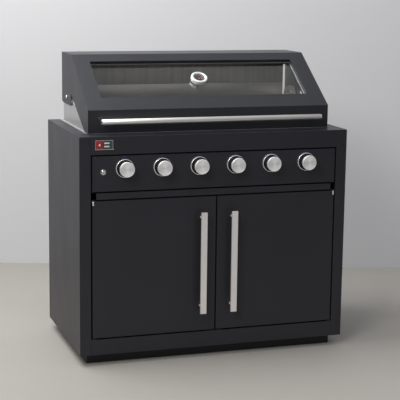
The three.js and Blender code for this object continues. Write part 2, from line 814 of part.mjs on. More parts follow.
function hoodHandle() {
  const y = hoodFrontY - handleStandoff;
  const z = slopeFootZ - handleDrop;
  const half = handleLength / 2;
  const cap = 4;
  const capRadius = handleRadius - 1;
  const end = half - cap;
  const bar = turnedY([
    [0, -half], [capRadius - 1, -half], [capRadius, 1 - half], [capRadius, -end], [handleRadius, -end],
    [handleRadius, end], [capRadius, end], [capRadius, half - 1], [capRadius - 1, half], [0, half],
  ], 20).rotateZ(-Math.PI / 2).translate(0, y, z);
  const postLength = handleStandoff - seam;
  const posts = [-1, 1].map((side) => rod(
    'y', postRadius, postLength, [side * (half - handlePostInset), hoodFrontY - seam - postLength / 2, z],
  ));
  return join(bar, ...posts);
}

// Assembly.
add('plinth_frame', plinthFrame(), blackSteel);
add('cabinet_floor', cabinetFloor(), blackPaint);
add('side_panel_right', sidePanel(), blackPaint);
add('side_panel_left', mirrored(sidePanel()), blackPaint);
add('back_panel', backPanel(), blackPaint);
add('deck_top', deckTop(), blackPaint);
add('control_panel', controlPanel(), blackPaint);
add('badge_plate', badgePlate(), redEnamel);
add('magnet_catch', magnetCatch(), blackSteel);
add('firebox', firebox(), stainless);
add('flame_tamer_rack', flameTamerRack(), stainless);
add('gas_manifold', gasManifold(), brassAlloy);

['left', 'middle', 'right'].forEach((place, i) => {
  add(`cooking_grate_${place}`, cookingGrate(i), castIron);
});

burnerXs.forEach((x, i) => {
  const number = i + 1;
  add(`burner_${number}`, burner(x), stainless);
  add(`valve_spindle_${number}`, spindle(x), brassAlloy);
  add(`bezel_${number}`, bezel(x), chrome);
  add(`knob_${number}`, knob(x), satinSilver);
});
add('ignition_button', ignitionButton(), satinSilver);
add('grease_tray', greaseTray(), blackPaint);

const sides = [['right', (geometry) => geometry], ['left', mirrored]];
for (const [side, place] of sides) {
  add(`door_${side}`, place(doorPan()), blackPaint);
  add(`door_handle_${side}`, place(doorHandle()), satinSilver);
  add(`hinge_upper_${side}`, place(hingeBracket(true)), chrome);
  add(`hinge_lower_${side}`, place(hingeBracket(false)), chrome);
  add(`hood_bracket_${side}`, place(hoodBracket()), stainless);
  add(`hood_pivot_bolt_${side}`, place(pivotBolt()), chrome);
}

add('warming_rack', warmingRack(), chrome);
add('hood_shell', hoodShell(), blackPaint);
add('window_glass', windowGlass(), tintedGlass);
add('window_retainer', windowRetainer(), blackSteel);
add('thermometer', thermometer(), chrome);
add('thermometer_needle', thermometerNeedle(), needleRed);
add('hood_handle', hoodHandle(), satinSilver);

export default barbecue;
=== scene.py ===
import json
import math

import bpy
from mathutils import Matrix, Vector


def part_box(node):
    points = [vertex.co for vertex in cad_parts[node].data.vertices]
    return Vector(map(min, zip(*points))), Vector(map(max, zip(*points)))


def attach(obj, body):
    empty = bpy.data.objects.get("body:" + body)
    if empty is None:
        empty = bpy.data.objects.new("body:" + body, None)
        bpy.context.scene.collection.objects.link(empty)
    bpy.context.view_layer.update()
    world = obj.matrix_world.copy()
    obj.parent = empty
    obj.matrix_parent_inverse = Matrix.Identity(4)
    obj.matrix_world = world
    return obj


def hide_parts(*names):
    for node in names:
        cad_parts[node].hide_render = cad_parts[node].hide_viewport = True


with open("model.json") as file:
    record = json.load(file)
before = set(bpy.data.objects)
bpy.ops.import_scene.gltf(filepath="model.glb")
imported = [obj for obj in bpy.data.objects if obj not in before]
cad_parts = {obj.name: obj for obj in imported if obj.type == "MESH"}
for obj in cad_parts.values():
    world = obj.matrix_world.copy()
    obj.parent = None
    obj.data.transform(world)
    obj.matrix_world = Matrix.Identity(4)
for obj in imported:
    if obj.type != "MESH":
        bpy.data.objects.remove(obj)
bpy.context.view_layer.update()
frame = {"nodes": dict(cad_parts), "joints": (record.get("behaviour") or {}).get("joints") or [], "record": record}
nodes = frame["nodes"]
slotOf = {part["node"]: part["material_slot"] for part in frame["record"]["subparts"]}
bodyOf = {name: body for body, names in frame["record"]["behaviour"]["bodies"].items() for name in names}
jointOf = {joint["name"]: joint for joint in frame["joints"]}
mm = 0.001
print("frame loaded,", len(nodes), "nodes")


# camera and studio

camera = {"place": (-1.655, -5.053, 1.590), "yaw": 18.36, "pitch": 10.41, "roll": 0.74, "lens": 112.6}

studio = {
    "floorSize": 16.0,
    "wallPoint": (0.449, 1.287, 0.0),      # the wall stands square to the camera through this point
    "wallWidth": 16.0,
    "wallHeight": 6.0,
    "airHorizon": (0.20, 0.203, 0.222, 1),
    "airZenith": (0.60, 0.605, 0.64, 1),
    # name: place, aimed at, width, height, watts, colour
    "lamps": {
        "key": ((-2.85, -3.3, 3.5), (0, 0, 0.7), 1.5, 1.5, 100, (1.0, 0.985, 0.955)),
        "overhead": ((-1.5, 0.3, 3.4), (-0.3, 0, 1.0), 1.9, 1.9, 90, (1.0, 1.0, 1.0)),
        "wallWash": ((-1.1, -0.6, 4.4), (0.5, 1.5, 2.2), 3.2, 0.9, 46, (1.0, 1.0, 1.0)),
    },
}


def makeCamera():
    turn = (Matrix.Rotation(math.radians(-camera["yaw"]), 4, "Z")
            @ Matrix.Rotation(math.radians(90 - camera["pitch"]), 4, "X")
            @ Matrix.Rotation(math.radians(camera["roll"]), 4, "Z"))
    bpy.ops.object.camera_add()
    eye = bpy.context.object
    eye.name = "camera"
    eye.matrix_world = Matrix.Translation(camera["place"]) @ turn
    eye.data.lens = camera["lens"]
    eye.data.sensor_width = 36
    bpy.context.scene.camera = eye


def makeLamps():
    for name, (place, target, width, height, watts, colour) in studio["lamps"].items():
        bpy.ops.object.light_add(type="AREA", location=place)
        lamp = bpy.context.object
        lamp.name = name
        lamp.rotation_euler = (Vector(target) - Vector(place)).to_track_quat("-Z", "Y").to_euler()
        lamp.data.shape = "RECTANGLE"
        lamp.data.size = width
        lamp.data.size_y = height
        lamp.data.energy = watts
        lamp.data.color = colour
        # glass mirrors the wall's own lamp as a white patch
        lamp.visible_glossy = name != "wallWash"
    world = bpy.data.worlds.new("studioAir")
    world.use_nodes = True
    air = world.node_tree
    place = air.nodes.new("ShaderNodeTexCoord")
    split = air.nodes.new("ShaderNodeSeparateXYZ")
    blend = air.nodes.new("ShaderNodeMix")
    blend.data_type = "RGBA"
    blend.inputs[6].default_value = studio["airHorizon"]
    blend.inputs[7].default_value = studio["airZenith"]
    air.links.new(place.outputs["Generated"], split.inputs[0])
    air.links.new(split.outputs[2], blend.inputs[0])
    air.links.new(blend.outputs[2], air.nodes["Background"].inputs["Color"])
    bpy.context.scene.world = world
    bpy.context.scene.view_settings.view_transform = "Standard"


# materials

class Value:
    # a socket that takes part in sums
    def __init__(self, finish, socket):
        self.finish = finish
        self.socket = socket

    def maths(self, operation, first, second):
        return self.finish.add("ShaderNodeMath", {"operation": operation}, {0: first, 1: second})

    def __add__(self, other):
        return self.maths("ADD", self, other)

    def __radd__(self, other):
        return self.maths("ADD", other, self)

    def __sub__(self, other):
        return self.maths("SUBTRACT", self, other)

    def __rsub__(self, other):
        return self.maths("SUBTRACT", other, self)

    def __mul__(self, other):
        return self.maths("MULTIPLY", self, other)

    def __rmul__(self, other):
        return self.maths("MULTIPLY", other, self)

    def __pow__(self, other):
        return self.maths("POWER", self, other)


class Finish:
    # a material with its principled shader, and short ways to build on it
    def __init__(self, name, uniform):
        self.material = bpy.data.materials.new(name)
        self.material.use_nodes = True
        self.tree = self.material.node_tree
        self.shader = next(n for n in self.tree.nodes if n.type == "BSDF_PRINCIPLED")
        self.output = next(n for n in self.tree.nodes if n.type == "OUTPUT_MATERIAL")
        self.place = self.add("ShaderNodeTexCoord", output="Object")
        for socket, value in uniform.items():
            self.shader.inputs[socket].default_value = value

    def add(self, kind, settings=None, inputs=None, output=0):
        node = self.tree.nodes.new(kind)
        for key, value in (settings or {}).items():
            if key == "stops":
                node.color_ramp.elements[0].position, shade = value[0]
                node.color_ramp.elements[0].color = (shade, shade, shade, 1)
                node.color_ramp.elements[1].position, shade = value[-1]
                node.color_ramp.elements[1].color = (shade, shade, shade, 1)
                for position, shade in value[1:-1]:
                    node.color_ramp.elements.new(position).color = (shade, shade, shade, 1)
            else:
                setattr(node, key, value)
        for key, value in (inputs or {}).items():
            self.feed(node.inputs[key], value)
        return Value(self, node.outputs[output])

    def feed(self, socket, value):
        if isinstance(value, Value):
            self.tree.links.new(value.socket, socket)
        else:
            socket.default_value = value

    def noise(self, scale, detail=3.0, stretch=(1, 1, 1), rough=0.5):
        moved = self.add("ShaderNodeMapping", None, {"Vector": self.place, "Scale": stretch})
        return self.add("ShaderNodeTexNoise", None,
                        {"Vector": moved, "Scale": scale, "Detail": detail, "Roughness": rough})

    def ramp(self, value, stops):
        return self.add("ShaderNodeValToRGB", {"stops": stops}, {0: value})

    def mix(self, factor, first, second):
        return self.add("ShaderNodeMix", {"data_type": "RGBA"}, {0: factor, 6: first, 7: second}, output=2)

    def axes(self):
        split = self.add("ShaderNodeSeparateXYZ", None, {0: self.place}).socket.node
        return [Value(self, split.outputs[i]) for i in range(3)]

    def bump(self, height, strength, distance=0.001):
        self.feed(self.shader.inputs["Normal"], self.add(
            "ShaderNodeBump", None, {"Height": height, "Strength": strength, "Distance": distance}))

    def varies(self, **sockets):
        for name, value in sockets.items():
            self.feed(self.shader.inputs[{"colour": "Base Color", "roughness": "Roughness",
                                          "metallic": "Metallic", "glow": "Emission Color"}[name]], value)


def powderCoat(name, dark, light, roughness, dust):
    # fine orange peel, slow drifts in gloss, faint dust and wiped patches
    made = Finish(name, {"Specular IOR Level": 0.5, "Metallic": 0.0})
    grain = made.noise(1400, 2)
    drift = made.noise(3.2, 4)
    wiped = made.noise(9, 5, (1, 1, 0.35), 0.6)
    made.varies(colour=made.mix(made.ramp(drift, [(0.3, 0), (0.7, 1)]) * 0.7 + grain * 0.3, dark, light),
                roughness=roughness + (wiped - 0.5) * dust + (grain - 0.5) * 0.06)
    made.bump(grain, 0.12, 0.0002)
    return made.material


def brushedSteel(name, colour, roughness, stretch, depth=0.25, streaks=0.8, metallic=1.0):
    # fine lines along one axis, broader streaks among them, and a slow drift in brightness
    made = Finish(name, {"Metallic": metallic})
    lines = made.noise(420, 3, stretch)
    broad = made.noise(60, 2, stretch)
    drift = made.noise(6, 3)
    darker = tuple(c * streaks for c in colour[:3]) + (1,)
    made.varies(colour=made.mix(lines * 0.3 + broad * 0.4 + drift * 0.3, darker, colour),
                roughness=roughness + (broad - 0.5) * 0.14 + (drift - 0.5) * 0.08)
    made.bump(lines, depth, 0.0001)
    return made.material


def polishedChrome(name, colour, roughness, metallic=1.0):
    made = Finish(name, {"Metallic": metallic})
    haze = made.noise(38, 4)
    made.varies(colour=made.mix(haze, tuple(c * 0.94 for c in colour[:3]) + (1,), colour),
                roughness=roughness + haze * 0.05)
    return made.material


def turnedFace(name, pitch):
    # concentric cuts about each knob's axis, with soft bright and dark sectors painted into the colour: a painted
    # highlight in place of the sheen of turned metal
    made = Finish(name, {"Metallic": 0.45})
    x, _, z = made.axes()
    across = made.add("ShaderNodeMath", {"operation": "WRAP"},
                      {0: x - pitch / 2, 1: pitch / 2, 2: -pitch / 2})
    up = z - knobAxis.z
    angle = made.add("ShaderNodeMath", {"operation": "ARCTAN2"}, {0: across, 1: up})
    radius = (across * across + up * up) ** 0.5
    rings = made.add("ShaderNodeMath", {"operation": "SINE"}, {0: radius * 9000})
    wobble = made.noise(120, 3)
    # painted highlight: bright and dark sectors by angle round the axis, fixed on the face
    paintedSheenSectors = made.add("ShaderNodeMath", {"operation": "SINE"}, {0: angle * 2 + wobble * 2.4 + 0.6})
    cuts = made.noise(900, 2)
    # colour: random tone and faint ring marks, with the painted highlight sectors on top
    shade = paintedSheenSectors * 0.36 + rings * 0.1 + wobble * 0.5 + 0.36
    made.varies(colour=made.mix(shade, (0.66, 0.66, 0.66, 1), (1.0, 1.0, 0.99, 1)),
                roughness=0.36 + (wobble - 0.5) * 0.16 + cuts * 0.05)
    made.bump(rings * 0.5 + cuts * 0.5, 0.22, 0.0001)
    return made.material


def castIron(name):
    made = Finish(name, {"Metallic": 0.35})
    grain = made.noise(520, 4, rough=0.65)
    patches = made.noise(24, 4)
    made.varies(colour=made.mix(patches, (0.012, 0.012, 0.012, 1), (0.045, 0.042, 0.04, 1)),
                roughness=0.55 + patches * 0.25)
    made.bump(grain, 0.45, 0.0004)
    return made.material


def brass(name):
    made = Finish(name, {"Metallic": 1.0})
    grain = made.noise(220, 3)
    tarnish = made.noise(18, 4)
    made.varies(colour=made.mix(tarnish, (0.30, 0.20, 0.09, 1), (0.62, 0.45, 0.20, 1)),
                roughness=0.3 + tarnish * 0.25)
    made.bump(grain, 0.1, 0.0002)
    return made.material


def plastic(name, dark, light, roughness):
    made = Finish(name, {"Specular IOR Level": 0.45})
    grain = made.noise(800, 2)
    drift = made.noise(30, 3)
    made.varies(colour=made.mix(drift, dark, light), roughness=roughness + (drift - 0.5) * 0.15)
    made.bump(grain, 0.15, 0.0002)
    return made.material


def enamel(name, dark, light, coat=0.6):
    made = Finish(name, {"Roughness": 0.35, "Coat Weight": coat, "Coat Roughness": 0.08})
    drift = made.noise(90, 3)
    made.varies(colour=made.mix(drift, dark, light))
    return made.material


def windowPane(name, tint, roughness):
    # clear for lamps, glass for the eye, with faint smears
    made = Finish(name, {"Base Color": tint, "IOR": 1.5, "Transmission Weight": 1.0})
    smear = made.noise(7, 4, (1, 0.4, 0.4))
    made.varies(roughness=roughness + smear * 0.02)
    clear = made.add("ShaderNodeBsdfTransparent", None, {"Color": tint})
    path = made.add("ShaderNodeLightPath", output="Is Shadow Ray")
    blend = made.add("ShaderNodeMixShader", None,
                     {0: path, 1: Value(made, made.shader.outputs[0]), 2: clear})
    made.feed(made.output.inputs["Surface"], blend)
    return made.material


def dialCover(name, tint, cover):
    # thin clear cover with faint smears
    made = Finish(name, {"Base Color": tint, "Specular IOR Level": 0.8})
    smear = made.noise(60, 3)
    made.varies(roughness=0.04 + smear * 0.05)
    made.feed(made.shader.inputs["Alpha"], cover + smear * 0.04)
    return made.material


def lampLens(name, colour, strength):
    made = Finish(name, {"Roughness": 0.25, "Emission Strength": strength})
    spread = made.noise(600, 2)
    shade = tuple(c * 0.6 for c in colour[:3]) + (1,)
    made.varies(colour=made.mix(spread, shade, colour), glow=made.mix(spread, shade, colour))
    return made.material


def stageFloor():
    made = Finish("paleFloor", {"Specular IOR Level": 0.3})
    broad = made.noise(1.1, 5, rough=0.6)
    fine = made.noise(60, 4)
    dark, light = (0.315, 0.300, 0.272, 1), (0.375, 0.360, 0.330, 1)
    made.varies(colour=made.mix(broad * 0.7 + fine * 0.3, dark, light),
                roughness=0.62 + (fine - 0.5) * 0.2)
    return made.material


def stageWall():
    # seen from the front only, so that it never stands between the eye and the grill
    made = Finish("paleWall", {"Roughness": 0.9, "Specular IOR Level": 0.1})
    broad = made.noise(0.8, 3)
    made.varies(colour=made.mix(broad, (0.575, 0.575, 0.588, 1), (0.605, 0.605, 0.615, 1)))
    back = made.add("ShaderNodeNewGeometry", output="Backfacing")
    clear = made.add("ShaderNodeBsdfTransparent")
    blend = made.add("ShaderNodeMixShader", None,
                     {0: back, 1: Value(made, made.shader.outputs[0]), 2: clear})
    made.feed(made.output.inputs["Surface"], blend)
    return made.material


knobAxis = sum(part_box("knob_3"), Vector()) / 2
knobPitch = (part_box("knob_4")[0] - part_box("knob_3")[0]).x

finishes = {
    "paint": powderCoat("blackPowderCoat", (0.0100, 0.0095, 0.0138, 1), (0.0150, 0.0143, 0.0205, 1),
                        0.44, 0.14),
    "hoodPaint": powderCoat("hoodPowderCoat", (0.0105, 0.0112, 0.0142, 1), (0.0150, 0.0160, 0.0205, 1),
                            0.42, 0.14),
    "kick": powderCoat("mattBlack", (0.004, 0.004, 0.0045, 1), (0.007, 0.007, 0.008, 1), 0.6, 0.12),
    "stainless": brushedSteel("brushedStainless", (0.62, 0.62, 0.61, 1), 0.33, (1, 0.02, 0.02)),
    "plate": brushedSteel("platedSide", (0.66, 0.66, 0.65, 1), 0.36, (1, 1, 0.012)),
    "burnerSteel": brushedSteel("millSteel", (0.50, 0.49, 0.47, 1), 0.4, (0.5, 0.02, 0.5)),
    "barSteel": brushedSteel("satinBarUpright", (0.96, 0.92, 0.905, 1), 0.36, (1, 1, 0.015), 0.15,
                             metallic=0.5),
    "tubeSteel": brushedSteel("satinTubeLevel", (0.93, 0.915, 0.87, 1), 0.36, (0.015, 1, 1), 0.15),
    "chrome": polishedChrome("polishedChrome", (0.82, 0.82, 0.83, 1), 0.07),
    "bezel": polishedChrome("bezelChrome", (0.97, 0.97, 0.98, 1), 0.22, 0.75),
    "dialRim": polishedChrome("dialRimSatin", (1.0, 1.0, 1.0, 1), 0.3, 0.7),
    # darker streaked steel for the upper hood liner: brushed grain and painted shade
    "liner": brushedSteel("brushedLiner", (0.62, 0.60, 0.57, 1), 0.46, (1, 1, 0.012), 0.3, 0.1),
    # near-black finish that paints shade: strips in the gaps, discs round the knobs, strips under the louvres
    "gap": plastic("paintedGapShade", (0.0008, 0.0008, 0.0008, 1), (0.0016, 0.0016, 0.0016, 1), 0.9),
    "knobFace": turnedFace("turnedKnobMetal", knobPitch),
    "knobSide": polishedChrome("knobRim", (0.86, 0.855, 0.85, 1), 0.2),
    "knobGrip": plastic("knobGripBlack", (0.012, 0.012, 0.013, 1), (0.02, 0.02, 0.022, 1), 0.4),
    "iron": castIron("castIron"),
    "brass": brass("valveBrass"),
    "badgeRed": enamel("badgeRed", (0.20, 0.008, 0.009, 1), (0.30, 0.012, 0.014, 1)),
    "badgeTeal": enamel("badgeTeal", (0.008, 0.055, 0.05, 1), (0.012, 0.08, 0.07, 1)),
    "badgeDark": enamel("badgeDark", (0.012, 0.016, 0.017, 1), (0.022, 0.03, 0.032, 1)),
    "badgeMark": enamel("badgeMark", (0.55, 0.54, 0.52, 1), (0.68, 0.67, 0.65, 1), 0.3),
    "dial": enamel("dialFace", (0.035, 0.036, 0.038, 1), (0.05, 0.051, 0.053, 1), 0.2),
    "pointer": enamel("pointerRed", (0.42, 0.03, 0.015, 1), (0.55, 0.045, 0.02, 1), 0.2),
    "pane": windowPane("windowGlass", (0.85, 0.84, 0.815, 1), 0.01),
    "lens": dialCover("dialGlass", (0.02, 0.022, 0.024, 1), 0.16),
    "glow": lampLens("blueIndicator", (0.05, 0.04, 0.55, 1), 0.35),
    "rubber": plastic("blackRubber", (0.010, 0.010, 0.010, 1), (0.018, 0.018, 0.018, 1), 0.7),
    "ceramic": plastic("igniterCeramic", (0.70, 0.68, 0.63, 1), (0.80, 0.78, 0.74, 1), 0.3),
}
print("materials made,", len(finishes))


# shaping

def take(obj):
    bpy.ops.object.select_all(action="DESELECT")
    obj.select_set(True)
    bpy.context.view_layer.objects.active = obj
    return obj


def settle(obj, matrix=None):
    # the place goes into the mesh
    take(obj)
    if matrix is not None:
        obj.matrix_world = matrix @ obj.matrix_world
    bpy.ops.object.transform_apply(location=True, rotation=True, scale=True)
    return obj


def cleaned(obj, closeBy=1e-6):
    take(obj)
    bpy.ops.object.mode_set(mode="EDIT")
    bpy.ops.mesh.select_all(action="SELECT")
    bpy.ops.mesh.remove_doubles(threshold=closeBy)
    bpy.ops.mesh.normals_make_consistent(inside=False)
    bpy.ops.object.mode_set(mode="OBJECT")
    return obj


def modified(obj, kind, **settings):
    take(obj)
    step = obj.modifiers.new(kind.title(), kind)
    for key, value in settings.items():
        setattr(step, key, value)
    bpy.ops.object.modifier_apply(modifier=step.name)
    return obj


def rounded(obj, width, segments=2, angle=30):
    return modified(obj, "BEVEL", width=width, segments=segments, limit_method="ANGLE",
                    angle_limit=math.radians(angle), harden_normals=False)


def smoothed(obj, angle=40):
    take(obj)
    bpy.ops.object.shade_smooth_by_angle(angle=math.radians(angle))
    return obj


def joined(pieces):
    take(pieces[0])
    for piece in pieces:
        piece.select_set(True)
    bpy.ops.object.join()
    return bpy.context.object


def placed(pattern, matrix):
    # a copy of the pattern with its own mesh
    take(pattern)
    bpy.ops.object.duplicate()
    return settle(bpy.context.object, matrix)


def turned(steps, sides=64):
    # steps are radius and height; the last may return to the first, which closes a ring
    radius, height = steps[0]
    closed = steps[0] == steps[-1]
    bpy.ops.mesh.primitive_circle_add(vertices=sides, radius=radius, location=(0, 0, height),
                                      fill_type="NOTHING" if closed else "NGON")
    obj = bpy.context.object
    bpy.ops.object.transform_apply(location=True)
    bpy.ops.object.mode_set(mode="EDIT")
    bpy.ops.mesh.select_mode(type="VERT")
    bpy.ops.mesh.select_all(action="SELECT")
    for nextRadius, nextHeight in steps[1:]:
        bpy.ops.mesh.extrude_region_move(TRANSFORM_OT_translate={"value": (0, 0, nextHeight - height)})
        grow = nextRadius / radius
        bpy.ops.transform.resize(value=(grow, grow, 1), center_override=(0, 0, nextHeight))
        radius, height = nextRadius, nextHeight
    bpy.ops.object.mode_set(mode="OBJECT")
    return cleaned(obj)


def scaled(steps):
    return [(radius * mm, height * mm) for radius, height in steps]


def fromEnd(steps, length):
    # heights count from the far end of a piece
    return [(radius, length + height) for radius, height in scaled(steps)]


def slab(low, high):
    low, high = Vector(low), Vector(high)
    bpy.ops.mesh.primitive_cube_add(size=1, location=(low + high) / 2, scale=high - low)
    return settle(bpy.context.object)


def rod(start, end, radius, sides=16):
    start, end = Vector(start), Vector(end)
    bpy.ops.mesh.primitive_cylinder_add(vertices=sides, radius=radius, depth=(end - start).length)
    obj = bpy.context.object
    obj.matrix_world = (Matrix.Translation((start + end) / 2)
                        @ (end - start).to_track_quat("Z", "Y").to_matrix().to_4x4())
    return settle(obj)


def finished(obj, name, finish, body, slot, *replaced, angle=40):
    obj.name = name
    obj.data.name = name
    obj.data.materials.clear()
    obj.data.materials.append(finishes[finish])
    if angle:
        smoothed(obj, angle)
    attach(obj, body)
    if replaced:
        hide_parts(*replaced)
    return obj


def forward(centre, base):
    # a turned piece's height points at the cook, from the plane y = base
    return Matrix.Translation((centre.x, base, centre.z)) @ Matrix.Rotation(math.radians(90), 4, "X")


def refined(node, width, segments, finish):
    # a merged copy of the node's mesh with its edges eased
    twin = bpy.data.objects.new(node + "Shape", nodes[node].data.copy())
    bpy.context.scene.collection.objects.link(twin)
    cleaned(twin, 1e-5)
    bpy.ops.object.mode_set(mode="EDIT")
    bpy.ops.mesh.select_all(action="SELECT")
    bpy.ops.mesh.customdata_custom_splitnormals_clear()
    bpy.ops.mesh.dissolve_limited(angle_limit=math.radians(1))
    bpy.ops.object.mode_set(mode="OBJECT")
    if width:
        rounded(twin, width * mm, segments)
    smoothed(twin)
    if width:
        modified(twin, "WEIGHTED_NORMAL", keep_sharp=True)
    return finished(twin, node + "Shape", finish, bodyOf[node], slotOf[node], node, angle=None)


# sheet metal, castings and everything else that keeps the frame's outline

# node: edge radius in mm, segments, finish
easedPieces = {
    "plinth_frame": (0.9, 2, "kick"),
    "cabinet_floor": (0.9, 2, "paint"),
    "side_panel_left": (0.9, 3, "paint"),
    "side_panel_right": (0.9, 3, "paint"),
    "back_panel": (0.5, 2, "paint"),
    "deck_top": (0.9, 3, "paint"),
    "control_panel": (0.9, 3, "paint"),
    "door_left": (0.9, 3, "paint"),
    "door_right": (0.9, 3, "paint"),
    "grease_tray": (0.9, 3, "paint"),
    "hood_shell": (0.9, 3, "hoodPaint"),
    "window_glass": (0, 1, "pane"),
    "firebox": (0.6, 2, "stainless"),
    "flame_tamer_rack": (0.4, 2, "stainless"),
    "cooking_grate_left": (2.2, 3, "iron"),
    "cooking_grate_middle": (2.2, 3, "iron"),
    "cooking_grate_right": (2.2, 3, "iron"),
    "hood_bracket_left": (0.5, 2, "plate"),
    "hood_bracket_right": (0.5, 2, "plate"),
    "door_handle_left": (1.3, 3, "barSteel"),
    "door_handle_right": (1.3, 3, "barSteel"),
    "magnet_catch": (0.6, 2, "rubber"),
    "gas_manifold": (0.8, 2, "brass"),
    "hinge_upper_left": (0.4, 2, "kick"),
    "hinge_upper_right": (0.4, 2, "kick"),
    "hinge_lower_left": (0.4, 2, "kick"),
    "hinge_lower_right": (0.4, 2, "kick"),
}
for name, (width, segments, finish) in easedPieces.items():
    refined(name, width, segments, finish)
for i in range(1, 7):
    refined(f"valve_spindle_{i}", 0.3, 2, "burnerSteel")
print("eased pieces made")


# knobs, bezels and indicator lights; lengths in mm from the panel outwards

knob = {
    "skirt": [(28, 0), (31.3, 0), (31.5, 0.4), (31.5, 2.4), (30.8, 3.2), (28, 3.2), (28, 0)],
    "grip": [(6.2, 3.2), (28.2, 3.2), (28.6, 3.6), (28.8, 27.4), (28.2, 28.0), (6.2, 28.0), (6.2, 3.2)],
    "flutes": 30,
    "fluteRadius": 1.5,
    "flutedBeyond": 27,
    # from the blind bore for the spindle, round the rim, to the face
    "cap": [(6.2, 36.2), (6.2, 27.6), (29.6, 27.6), (30.5, 28.4), (30.5, 36.6), (30.1, 37.4),
            (29.2, 38.0), (26.6, 38.0), (26.0, 37.6), (25.4, 37.5), (8.0, 37.35), (0.5, 37.3)],
    "bezel": [(34, 0.2), (34.0, 6.8), (34.5, 8.2), (35.2, 8.9), (36.2, 8.9), (37.1, 8.2), (37.5, 7.0),
              (37.5, 0.2), (34, 0.2)],
    # a near-black disc inside the bezel: painted shade in the gap round the knob's foot
    "plate": [(6, 0.15), (34.2, 0.15), (34.2, 0.9), (6, 0.9), (6, 0.15)],
    "light": [(1.8, 0), (1.8, 0.5), (1.5, 1.0), (0.9, 1.3), (0.3, 1.4)],
    "lightRise": 46.5,
}


def fluted(steps):
    # the grip's wall with shallow scallops round it
    obj = turned(scaled(steps), knob["flutes"] * 4)
    for vertex in obj.data.vertices:
        radius = math.hypot(vertex.co.x, vertex.co.y)
        if radius > knob["flutedBeyond"] * mm:
            turn = math.atan2(vertex.co.y, vertex.co.x)
            dip = 0.5 - 0.5 * math.cos(turn * knob["flutes"])
            cut = 1 - knob["fluteRadius"] * mm * dip / radius
            vertex.co.x *= cut
            vertex.co.y *= cut
    return obj


def makeKnobs():
    skirt = turned(scaled(knob["skirt"]), 72)
    grip = fluted(knob["grip"])
    cap = rounded(turned(scaled(knob["cap"]), 72), 0.25 * mm)
    bezel = turned(scaled(knob["bezel"]), 72)
    plate = turned(scaled(knob["plate"]), 48)
    light = turned(scaled(knob["light"]), 20)
    for i in range(1, 7):
        low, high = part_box(f"knob_{i}")
        centre = (low + high) / 2
        at = forward(centre, high.y)
        body = f"knob_{i}"
        finished(placed(grip, at), f"knobGrip_{i}", "knobGrip", body, "knob_metal")
        finished(placed(skirt, at), f"knobSkirt_{i}", "knobGrip", body, "knob_metal")
        finished(placed(cap, at), f"knobCap_{i}", "knobFace", body, "knob_metal", body,
                 angle=35)
        panel = forward(centre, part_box(f"bezel_{i}")[1].y)
        finished(placed(bezel, panel), f"bezelRing_{i}", "bezel", "cabinet",
                 "bright_chrome", f"bezel_{i}")
        # painted shade: a near-black disc fills the bezel round the knob
        finished(placed(plate, panel), f"bezelShadeDisc_{i}", "gap", "cabinet",
                 "bright_chrome")
        lamp = panel @ Matrix.Translation((0, knob["lightRise"] * mm, 0))
        finished(placed(light, lamp), f"indicatorLight_{i}", "glow", "cabinet", "glass")
    for pattern in (skirt, grip, cap, bezel, plate, light):
        bpy.data.objects.remove(pattern)


makeKnobs()
print("knobs made")


# ignition button

button = {
    "cap": [(9.0, -4), (9.0, 5.6), (8.4, 6.9), (7.2, 7.7), (5.6, 7.9), (4.8, 7.5), (0.4, 7.0)],
    "ring": [(9.5, 0.2), (9.5, 2.2), (10.1, 3.0), (11.2, 3.0), (12.1, 2.2), (12.5, 0.2), (9.5, 0.2)],
}


def makeButton():
    low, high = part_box("ignition_button")
    centre = (low + high) / 2
    front = forward(centre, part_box("control_panel")[0].y)
    cap = settle(turned(scaled(button["cap"]), 56), front)
    finished(cap, "ignitionCap", "knobSide", "button", "knob_metal", "ignition_button")
    ring = settle(turned(scaled(button["ring"]), 56), front)
    finished(ring, "ignitionRing", "chrome", "cabinet", "bright_chrome")


makeButton()
print("ignition button made")


# badge: a bright rim round a red field with a diamond, a dark field with two raised bars and a teal end

badge = {
    "rim": 2.2,
    "sink": 1.2,
    "fieldGap": 0.1,
    "fieldDepths": (0.7, 1.3),        # behind the rim's face
    "markDepths": (0.45, 0.8),
    "redShare": 0.46,
    "endShare": 0.84,
    # left, bottom, length and height as shares of the plate
    "bars": [(0.50, 0.60, 0.294, 0.16), (0.50, 0.26, 0.294, 0.16)],
    "diamond": {"radius": 0.17, "narrowed": 0.72, "depth": 0.6, "thick": 0.35},
}


